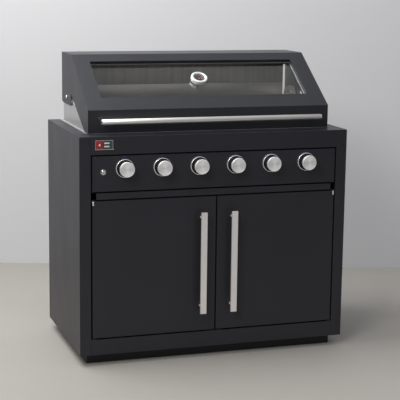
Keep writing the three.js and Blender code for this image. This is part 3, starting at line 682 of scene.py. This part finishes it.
def makeBadge():
    low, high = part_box("badge_plate")
    width, tall = high.x - low.x, high.z - low.z
    rim = badge["rim"] * mm
    gap = badge["fieldGap"] * mm
    face = low.y
    middle = low.x + width * badge["redShare"]
    end = low.x + width * badge["endShare"]
    frameBar = slab(low, high)
    bpy.ops.object.mode_set(mode="EDIT")
    bpy.ops.mesh.select_mode(type="FACE")
    bpy.ops.mesh.select_all(action="DESELECT")
    bpy.ops.object.mode_set(mode="OBJECT")
    for polygon in frameBar.data.polygons:
        polygon.select = polygon.normal.y < -0.9
    bpy.ops.object.mode_set(mode="EDIT")
    bpy.ops.mesh.inset(thickness=rim)
    bpy.ops.mesh.extrude_region_move(TRANSFORM_OT_translate={"value": (0, badge["sink"] * mm, 0)})
    bpy.ops.object.mode_set(mode="OBJECT")
    finished(rounded(frameBar, 0.4 * mm, 3), "badgeRim", "chrome", "cabinet", "badge", "badge_plate")
    near, far = (face + depth * mm for depth in badge["fieldDepths"])
    for name, left, right, finish in (("badgeRedField", low.x + rim, middle, "badgeRed"),
                                      ("badgeDarkField", middle, end, "badgeDark"),
                                      ("badgeTealField", end, high.x - rim, "badgeTeal")):
        field = slab((left + gap, near, low.z + rim + gap), (right - gap, far, high.z - rim - gap))
        finished(rounded(field, 0.25 * mm), name, finish, "cabinet", "badge")
    marks = []
    near, far = (face + depth * mm for depth in badge["markDepths"])
    for left, bottom, long, rise in badge["bars"]:
        x = low.x + width * left
        z = low.z + tall * bottom
        marks.append(slab((x, near, z), (x + width * long, far, z + tall * rise)))
    diamond = badge["diamond"]
    place = ((low.x + rim + middle) / 2, face + diamond["depth"] * mm, low.z + tall / 2)
    bpy.ops.mesh.primitive_cylinder_add(vertices=4, radius=tall * diamond["radius"],
                                        depth=diamond["thick"] * mm, location=place,
                                        rotation=(math.radians(90), 0, 0),
                                        scale=(diamond["narrowed"], 1, 1))
    marks.append(settle(bpy.context.object))
    finished(rounded(joined(marks), 0.12 * mm), "badgeMarks", "badgeMark", "cabinet", "badge")


makeBadge()
print("badge made")


# hood: thermometer, handle, pivots

slope = {"axis": Vector(jointOf["needle_turn"]["axis"]), "place": Vector(jointOf["needle_turn"]["pos_m"])}
slopeTurn = math.atan2(slope["axis"].y, -slope["axis"].z)
dialFrame = Matrix.Translation(slope["place"]) @ Matrix.Rotation(slopeTurn, 4, "X")

thermometer = {
    "case": [(24.6, -9.2), (24.6, -1.4), (25.2, 0.2), (26.6, 1.3), (29.0, 1.9), (31.6, 1.9),
             (33.6, 1.2), (34.9, -0.2), (35.4, -2.2), (35.4, -14.0), (34.4, -16.2), (33.0, -17.4),
             (30.0, -17.4), (30.0, -9.8), (24.6, -9.2)],
    "dial": [(25.4, -9.6), (25.4, -9.0), (2.0, -9.0), (0.4, -9.0)],
    "pin": [(1.9, -9.2), (1.9, -6.2), (1.5, -5.8), (0.3, -5.7)],
    "probe": [(3.0, -66.8), (3.0, -27.8), (6.0, -27.6), (6.0, -17.0), (5.4, -16.8)],
    "nut": [(6.0, -22.1), (11, -22.1), (11, -26.4), (6.0, -26.4)],
    "lens": [(24.9, -2.6), (24.9, -1.8), (21, -1.2), (12, -0.6), (0.5, -0.4)],
    "steps": 13,                      # main ticks over the scale
    "parts": 5,                       # fine steps between two of them
    "sweep": 270,
    "majorTick": (18.4, 23.0, 0.5),   # inner and outer radius, half width
    "minorTick": (20.8, 23.0, 0.25),
    "tickHeights": (-9.05, -8.7),
    "band": [(23.5, -9.05), (24.2, -9.05), (24.2, -8.8), (23.5, -8.8), (23.5, -9.05)],
    "labels": ["0", "50", "100", "150", "200", "250", "300"],
    "labelSize": 4.8,
    "labelRadius": 14.2,
    "labelHeight": -8.85,
    "labelThick": 0.12,
    "pointerTip": 20,
    "pointerTail": 8,
    "pointerHalf": 1.5,
    "pointerTaper": 0.35,
    "pointerHeights": (-8, -6.9),
    "pointerRest": 135,
    "hub": [(5, -8), (5, -7.0), (4.4, -6.6), (2.3, -6.6), (2.3, -8), (5, -8)],
}


def makeThermometer():
    case = rounded(turned(scaled(thermometer["case"]), 96), 0.25 * mm)
    finished(settle(case, dialFrame), "thermometerCase", "dialRim", "hood", "bright_chrome", "thermometer")
    finished(settle(turned(scaled(thermometer["dial"]), 72), dialFrame), "thermometerDial", "dial", "hood",
             "bright_chrome")
    pin = turned(scaled(thermometer["pin"]), 24)
    probe = turned(scaled(thermometer["probe"]), 24)
    nut = turned(scaled(thermometer["nut"]), 6)
    finished(settle(joined([pin, probe, nut]), dialFrame), "thermometerProbe", "knobSide", "hood",
             "bright_chrome", angle=30)
    finished(settle(turned(scaled(thermometer["lens"]), 72), dialFrame), "thermometerLens", "lens", "hood",
             "glass")
    marks = []
    count = (thermometer["steps"] - 1) * thermometer["parts"]
    below, above = thermometer["tickHeights"]
    for i in range(count + 1):
        major = i % thermometer["parts"] == 0
        turn = math.radians(thermometer["sweep"] * (0.5 - i / count))
        inner, outer, half = thermometer["majorTick" if major else "minorTick"]
        tick = slab((-half * mm, inner * mm, below * mm), (half * mm, outer * mm, above * mm))
        marks.append(settle(tick, Matrix.Rotation(turn, 4, "Z")))
    marks.append(turned(scaled(thermometer["band"]), 72))
    for i, label in enumerate(thermometer["labels"]):
        turn = math.radians(thermometer["sweep"] * (0.5 - i / (len(thermometer["labels"]) - 1)))
        bpy.ops.object.text_add()
        text = bpy.context.object
        text.data.body = label
        text.data.size = thermometer["labelSize"] * mm
        text.data.align_x = "CENTER"
        text.data.align_y = "CENTER"
        text.data.extrude = thermometer["labelThick"] * mm
        text.data.resolution_u = 3
        bpy.ops.object.convert(target="MESH")
        reach = thermometer["labelRadius"] * mm
        place = Vector((-math.sin(turn) * reach, math.cos(turn) * reach, thermometer["labelHeight"] * mm))
        marks.append(settle(bpy.context.object, Matrix.Translation(place)))
    finished(settle(joined(marks), dialFrame), "thermometerScale", "badgeMark", "hood", "bright_chrome",
             angle=20)
    half = thermometer["pointerHalf"] * mm
    below, above = (height * mm for height in thermometer["pointerHeights"])
    hand = slab((-half, -thermometer["pointerTail"] * mm, below),
                (half, thermometer["pointerTip"] * mm, above))
    for vertex in hand.data.vertices:
        if vertex.co.y > 0:
            vertex.co.x *= thermometer["pointerTaper"]
    hub = turned(scaled(thermometer["hub"]), 32)
    rest = Matrix.Rotation(math.radians(thermometer["pointerRest"]), 4, "Z")
    pointer = rounded(settle(joined([hand, hub]), rest), 0.15 * mm)
    finished(settle(pointer, dialFrame), "thermometerPointer", "pointer", "needle", "needle",
             "thermometer_needle")


handleBar = {
    "end": [(10.2, 0), (10.8, 0.3), (11.0, 0.9), (11.0, 4.0), (11.6, 4.05), (12, 4.6)],
    "postFoot": [(7.5, 0), (7.5, 1.6), (6.2, 2.4), (5.9, 3.6)],
    "postTop": [(5.9, -4), (7.0, 0)],        # from the bar's axis
    "postInset": 44,
}


def makeHoodHandle():
    low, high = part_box("hood_handle")
    z = (high.z + low.z) / 2
    y = low.y + (high.z - low.z) / 2
    base = high.y
    steps = scaled(handleBar["end"])
    long = high.x - low.x
    bar = turned(steps + [(radius, long - height) for radius, height in reversed(steps)], 64)
    settle(bar, Matrix.Translation((low.x, y, z)) @ Matrix.Rotation(math.radians(90), 4, "Y"))
    posts = []
    for side in (-1, 1):
        post = turned(scaled(handleBar["postFoot"]) + fromEnd(handleBar["postTop"], base - y), 40)
        x = side * (long / 2 - handleBar["postInset"] * mm)
        posts.append(settle(post, forward(Vector((x, 0, z)), base)))
    finished(joined([bar] + posts), "hoodHandleBar", "tubeSteel", "hood", "satin_steel", "hood_handle")


pivot = {
    "head": [(7.2, 0), (8.2, 0.5), (8.5, 1.4), (8.5, 3.4), (8.5, 3.9), (3.9, 3.95)],
    "socket": [(4.4, -0.4), (4.4, 0.2), (3.0, 0.2), (3.0, -0.4), (4.4, -0.4)],
    # from the far end
    "tip": [(3.9, -2), (3.4, 0)],
    "nut": [(4, -8), (7.6, -8), (7.9, -7.4), (7.9, -2.9), (7.6, -2.3), (4, -2.3)],
}


def makePivots():
    for side, name in ((-1, "left"), (1, "right")):
        low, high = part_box(f"hood_pivot_bolt_{name}")
        centre = (low + high) / 2
        outer, inner = (low.x, high.x) if side < 0 else (high.x, low.x)
        length = abs(outer - inner)
        bolt = turned(scaled(pivot["head"]) + fromEnd(pivot["tip"], length), 40)
        socket = turned(scaled(pivot["socket"]), 6)
        nut = turned(fromEnd(pivot["nut"], length), 6)
        turn = Matrix.Rotation(math.radians(-90 * side), 4, "Y")
        shape = settle(joined([bolt, socket, nut]), Matrix.Translation((outer, centre.y, centre.z)) @ turn)
        finished(shape, f"pivotBolt_{name}", "knobSide", "cabinet", "bright_chrome",
                 f"hood_pivot_bolt_{name}", angle=30)


windowTrim = {"hold": 13.5, "rim": 1.8, "underlap": 12.2, "bead": 2.6, "beadRise": 3.0, "play": 0.2}


def slopeBox(name):
    # a node's lowest and highest corners along the slope's own axes
    back = dialFrame.inverted()
    points = [back @ vertex.co for vertex in nodes[name].data.vertices]
    return [Vector([pick(point[i] for point in points) for i in range(3)]) for pick in (min, max)]


def ringPlate(low, high, width, bottom, top):
    # a rectangular ring, width wide inwards from its outer edges
    centre, size = (low + high) / 2, high - low
    bpy.ops.mesh.primitive_plane_add(size=1, location=(centre.x, centre.y, bottom))
    bpy.context.object.scale = (size.x, size.y, 1)
    ring = settle(bpy.context.object)
    bpy.ops.object.mode_set(mode="EDIT")
    bpy.ops.mesh.select_all(action="SELECT")
    bpy.ops.mesh.inset(thickness=width)
    bpy.ops.mesh.delete(type="ONLY_FACE")
    bpy.ops.object.mode_set(mode="OBJECT")
    return cleaned(modified(ring, "SOLIDIFY", thickness=top - bottom, offset=1))


def makeWindowTrim():
    # the frame behind the opening's edge that holds the pane, and a bright bead on top of the pane
    low, high = slopeBox("window_retainer")
    glassLow, glassHigh = slopeBox("window_glass")
    under = glassLow.z - windowTrim["play"] * mm
    hold = ringPlate(low, high, windowTrim["hold"] * mm, low.z, under)
    rim = ringPlate(low, high, windowTrim["rim"] * mm, under - windowTrim["play"] * mm, high.z)
    ring = joined([rounded(hold, 0.3 * mm), rounded(rim, 0.3 * mm)])
    finished(settle(ring, dialFrame), "windowRetainerRing", "kick", "hood", slotOf["window_retainer"],
             "window_retainer", angle=30)
    edge = Vector((windowTrim["underlap"], windowTrim["underlap"], 0)) * mm
    top = glassHigh.z + windowTrim["play"] * mm
    bead = ringPlate(glassLow + edge, glassHigh - edge, windowTrim["bead"] * mm, top,
                     top + windowTrim["beadRise"] * mm)
    bead = settle(rounded(bead, 0.6 * mm, 3), dialFrame)
    finished(bead, "windowBead", "stainless", "hood", "stainless", angle=30)


makeWindowTrim()
makeThermometer()
makeHoodHandle()
makePivots()
print("hood pieces made")


# warming rack

rack = {"wire": 2.6, "rail": 3.0, "wires": 5, "rails": 4}


def makeRack():
    low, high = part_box("warming_rack")
    wire, rail = rack["wire"] * mm, rack["rail"] * mm
    x, z = high.x - rail, high.z - rail
    front, back = low.y + rail, high.y - rail
    parts = []
    for i in range(rack["wires"]):
        y = front + (back - front) * i / (rack["wires"] - 1)
        parts.append(rod((-x, y, z), (x, y, z), wire))
    for i in range(rack["rails"]):
        across = -x + 2 * x * i / (rack["rails"] - 1)
        parts.append(rod((across, low.y, z), (across, high.y, z), rail))
    for side in (-1, 1):
        for y in (front, back):
            corner = (side * x, y, z)
            parts.append(rod((side * x, y, low.z), corner, wire))
            bpy.ops.mesh.primitive_uv_sphere_add(segments=16, ring_count=8, radius=rail, location=corner)
            parts.append(bpy.context.object)
    finished(settle(joined(parts)), "warmingRackWires", "chrome", "cabinet", "bright_chrome",
             "warming_rack")


makeRack()
print("warming rack made")


# burners

burner = {
    "mouth": [(17, 0), (13.5, 4), (11, 9), (10.6, 12), (11.2, 20), (12.8, 32), (14, 42)],
    "end": [(14, -2), (13, -0.6), (11.5, 0), (9.5, -0.2), (9.2, -2), (12.4, -3)],      # from the far end
    "bore": [(12.4, 42), (9.4, 20), (9.2, 12), (9.8, 9), (15.6, 0), (17, 0)],
    "port": [(0.8, 13.7), (1.7, 13.7), (1.9, 14.25), (1.6, 14.35), (0.9, 14.1)],
    "portTilt": 38,
    "ports": 26,
    "firstPort": 70,
    "lastPort": 24,
    "electrode": [(2.6, 0), (2.6, 16), (1.1, 17), (1.1, 27), (0.6, 28)],
    "electrodePlace": (20, 75, -10),        # from the mouth's centre
}


def makeBurners():
    low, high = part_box("burner_1")
    long = high.y - low.y
    tube = turned(scaled(burner["mouth"]) + fromEnd(burner["end"], long) + scaled(burner["bore"]), 40)
    # two rows of ports, as small black dished rings: painted shade inside the holes
    first, last = burner["firstPort"] * mm, long - burner["lastPort"] * mm
    gap = (last - first) / (burner["ports"] - 1)
    rows = []
    for side in (-1, 1):
        port = turned(scaled(burner["port"]), 10)
        settle(port, Matrix.Rotation(math.radians(side * burner["portTilt"]), 4, "Y"))
        rows.append(modified(port, "ARRAY", use_relative_offset=False, use_constant_offset=True,
                             constant_offset_displace=(0, gap, 0), count=burner["ports"]))
    holes = joined(rows)
    electrode = turned(scaled(burner["electrode"]), 20)
    for i in range(1, 7):
        low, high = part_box(f"burner_{i}")
        mouth = Vector(((low.x + high.x) / 2, low.y, (low.z + high.z) / 2))
        at = Matrix.Translation(mouth) @ Matrix.Rotation(math.radians(-90), 4, "X")
        finished(placed(tube, at), f"burnerTube_{i}", "burnerSteel", "cabinet", "burner_steel",
                 f"burner_{i}")
        # the ports' black finish is painted shade inside the holes
        finished(placed(holes, Matrix.Translation(mouth + Vector((0, first, 0)))), f"burnerPorts_{i}",
                 "rubber", "cabinet", "burner_steel")
        spark = Matrix.Translation(mouth + Vector(burner["electrodePlace"]) * mm)
        finished(placed(electrode, spark), f"igniter_{i}", "ceramic", "cabinet", "burner_steel")
    for pattern in (tube, holes, electrode):
        bpy.data.objects.remove(pattern)


makeBurners()
print("burners made")


# small fixings and trim; lengths in mm

trim = {
    "screw": [(2.2, -1.0), (4.1, 0.05), (4.2, 0.6), (3.7, 1.5), (2.6, 2.0), (1.7, 2.1), (1.6, 1.2),
              (0.3, 1.1)],
    # the dark strips behind the gaps, which paint their shade
    "sealDepth": 9,
    "sealThick": 2,
    "sealPlay": 0.4,                  # beside a moving part
    "sealGap": 0.1,
    "trayPaintedShadeInset": 30,
    "linerX": 506,
    "linerThick": 0.6,
    "linerStep": 0.8,
    "linerBack": 2.2,
    "linerTop": 6,
    "linerSplit": 1089,
    "linerFoot": 1030,
    "clip": (6.0, 17.0),
    "clipDepths": (1.1, 0.1),         # in front of the door
    "clipDome": [(2.1, 0), (2.0, 0.7), (1.3, 1.2), (0.3, 1.35)],
    "clipDomeDrop": 5,
    "lip": (3.0, 3.2),
    "lipFront": 40,
    "lipSink": 0.1,
    "postInset": 26,
    "postWall": 2,
    "louvre": {"rows": 6, "half": 105, "step": 24, "radius": 8, "proud": 4.5, "mouth": 2.5, "from": 640,
               "xs": (-260, 260)},
    # lowest and highest corner of the black strip under a louvre, from its middle: painted shade in the louvre's
    # mouth
    "slot": ((-101, -0.1, -4.4), (101, 0.5, -2.7)),
    "screwPitch": 170,
    "screwMargin": (32, 11),
}


def block(low, high):
    return slab(Vector(low) * mm, Vector(high) * mm)


def strip(name, low, high, finish, body, slot, width=0.3):
    return finished(rounded(block(low, high), width * mm), name, finish, body, slot)


def edges(name):
    low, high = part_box(name)
    return low / mm, high / mm


def makePaintedShades():
    # dark strips set back in the gaps: painted shade that makes each gap read black
    low, high = edges("control_panel")
    doorLow, doorHigh = edges("door_left")
    opening = edges("side_panel_right")[0].x
    reveal = abs(doorHigh.x) * 2
    near = low.y + trim["sealDepth"]
    far = near + trim["sealThick"]
    play, gap = trim["sealPlay"], trim["sealGap"]
    trayEnd = opening - trim["trayPaintedShadeInset"]
    paintedShades = [
        ("OverPanel", "cabinet", (-opening, near, high.z + gap),
         (opening, far, high.z + reveal - gap)),
        ("UnderPanel", "cabinet", (-opening, near, low.z - reveal + play),
         (opening, far, low.z - gap)),
        ("UnderTray", "tray", (-trayEnd, near, doorHigh.z + play),
         (trayEnd, far, doorHigh.z + reveal - gap)),
        ("BetweenDoors", "left_door", (gap - reveal / 2, near, doorLow.z),
         (reveal / 2 - play, far, doorHigh.z)),
    ]
    for side, name in ((-1, "left"), (1, "right")):
        inner, outer = sorted((side * (high.x + gap), side * (opening - gap)))
        paintedShades.append((f"BesidePanel_{name}", "cabinet", (inner, near, low.z), (outer, far, high.z)))
    for name, body, start, end in paintedShades:
        strip("seal" + name, start, end, "gap", body, "kick_black")


def makeLiners():
    # brushed plates inside the hood's back; the upper plate's darker streaks are painted shade and the lower
    # plate's lighter finish is painted light, split along the shadow line of the window's top edge
    high = edges("hood_shell")[1]
    back = high.y - trim["linerBack"]
    near = back - trim["linerThick"]
    across, split = trim["linerX"], trim["linerSplit"]
    strip("hoodLinerUpper", (-across, near, split + 1), (across, back, high.z - trim["linerTop"]),
          "liner", "hood", "stainless", 0.15)
    strip("hoodLinerLower", (-across, near - trim["linerStep"], trim["linerFoot"]), (across, back, split),
          "plate", "hood", "stainless", 0.2)


def makeHingeClips():
    wide, tall = trim["clip"]
    near, far = trim["clipDepths"]
    for side, name in ((-1, "left"), (1, "right")):
        low, high = edges(f"door_{name}")
        outer = low.x if side < 0 else high.x
        left, right = sorted((outer, outer - side * wide))
        clip = block((left, low.y - near, high.z - tall), (right, low.y - far, high.z))
        middle = Vector(((left + right) / 2, 0, high.z - trim["clipDomeDrop"])) * mm
        dome = settle(turned(scaled(trim["clipDome"]), 20), forward(middle, (low.y - near + far) * mm))
        finished(joined([rounded(clip, 0.35 * mm), dome]), f"hingeClip_{name}", "bezel", f"{name}_door",
                 "bright_chrome")


def makeFlangeLip():
    # raised edge along the flange's sides and back
    low, high = edges("firebox")
    wide, rise = trim["lip"]
    front = edges("hood_shell")[0].y + trim["lipFront"]
    foot, top = high.z - trim["lipSink"], high.z + rise
    bars = [block((low.x, front, foot), (low.x + wide, high.y, top)),
            block((high.x - wide, front, foot), (high.x, high.y, top)),
            block((low.x + wide, high.y - wide, foot), (high.x - wide, high.y, top))]
    finished(joined([rounded(bar, 0.9 * mm, 3) for bar in bars]), "flangeLip", "bezel", "cabinet",
             "stainless")


def louvre(x, y, z):
    # a pressed half round that opens downwards
    size = trim["louvre"]
    hood = rod((x - size["half"] * mm, y, z), (x + size["half"] * mm, y, z), size["radius"] * mm, 24)
    bpy.ops.object.mode_set(mode="EDIT")
    bpy.ops.mesh.select_all(action="SELECT")
    bpy.ops.transform.resize(value=(1, size["proud"] / size["radius"], 1), center_override=(x, y, z))
    bpy.ops.mesh.bisect(plane_co=(x, y, z), plane_no=(0, 1, 0), use_fill=True, clear_inner=True)
    bpy.ops.mesh.select_all(action="SELECT")
    bpy.ops.mesh.bisect(plane_co=(x, y, z - size["mouth"] * mm), plane_no=(0, 0, 1), use_fill=True,
                        clear_inner=True)
    bpy.ops.object.mode_set(mode="OBJECT")
    return rounded(cleaned(hood), 1.2 * mm, 3)


def evenly(start, end, pitch):
    count = max(1, round((end - start) / pitch))
    return [start + (end - start) * i / count for i in range(count + 1)]


def makeBack():
    low, high = edges("back_panel")
    size = trim["louvre"]
    hoods, louvreShades = [], []
    for x in size["xs"]:
        for row in range(size["rows"]):
            place = Vector((x, high.y, size["from"] - row * size["step"]))
            hoods.append(louvre(*(place * mm)))
            start, end = (place + Vector(corner) for corner in trim["slot"])
            louvreShades.append(rounded(block(start, end), 0.2 * mm))
    finished(joined(hoods), "backLouvres", "paint", "cabinet", "black_paint")
    # black strips under the louvres: painted shade in their mouths
    finished(joined(louvreShades), "backLouvreShade", "gap", "cabinet", "kick_black")
    aside, above = trim["screwMargin"]
    left, right, bottom, top = low.x + aside, high.x - aside, low.z + above, high.z - above
    places = [(x, z) for x in evenly(left, right, trim["screwPitch"]) for z in (bottom, top)]
    places += [(x, z) for z in evenly(bottom, top, trim["screwPitch"])[1:-1] for x in (left, right)]
    makeScrews("backScrews", [Vector((x, high.y, z)) * mm for x, z in places], "cabinet")


def makeScrews(name, places, body):
    # round heads with a hollow, facing backwards
    turn = Vector((0, 1, 0)).to_track_quat("Z", "Y").to_matrix().to_4x4()
    head = turned(scaled(trim["screw"]), 18)
    heads = [placed(head, Matrix.Translation(place) @ turn) for place in places]
    bpy.data.objects.remove(head)
    finished(joined(heads), name, "knobSide", body, "bright_chrome", angle=35)


def makeHandleScrews():
    inset = trim["postInset"]
    for name in ("left", "right"):
        low, high = edges(f"door_handle_{name}")
        inner = edges(f"door_{name}")[0].y + trim["postWall"]
        x = (low.x + high.x) / 2
        places = [Vector((x, inner, z)) * mm for z in (low.z + inset, high.z - inset)]
        makeScrews(f"handleScrews_{name}", places, f"{name}_door")


makePaintedShades()
makeLiners()
makeHingeClips()
makeFlangeLip()
makeBack()
makeHandleScrews()
print("trim made")


# stage

def makeStage():
    floorSize = studio["floorSize"]
    bpy.ops.mesh.primitive_plane_add(size=floorSize, location=(0, 0, 0))
    floor = bpy.context.object
    floor.name = "stageFloor"
    floor.data.materials.append(stageFloor())
    turn = Matrix.Rotation(math.radians(-camera["yaw"]), 4, "Z") @ Matrix.Rotation(math.radians(90), 4, "X")
    bpy.ops.mesh.primitive_plane_add(size=1)
    wall = bpy.context.object
    wall.name = "stageWall"
    rise = Matrix.Translation(Vector(studio["wallPoint"]) + Vector((0, 0, studio["wallHeight"] / 2)))
    wall.matrix_world = rise @ turn @ Matrix.Diagonal((studio["wallWidth"], studio["wallHeight"], 1, 1))
    wall.data.materials.append(stageWall())


makeStage()
makeLamps()
makeCamera()
print("stage made")
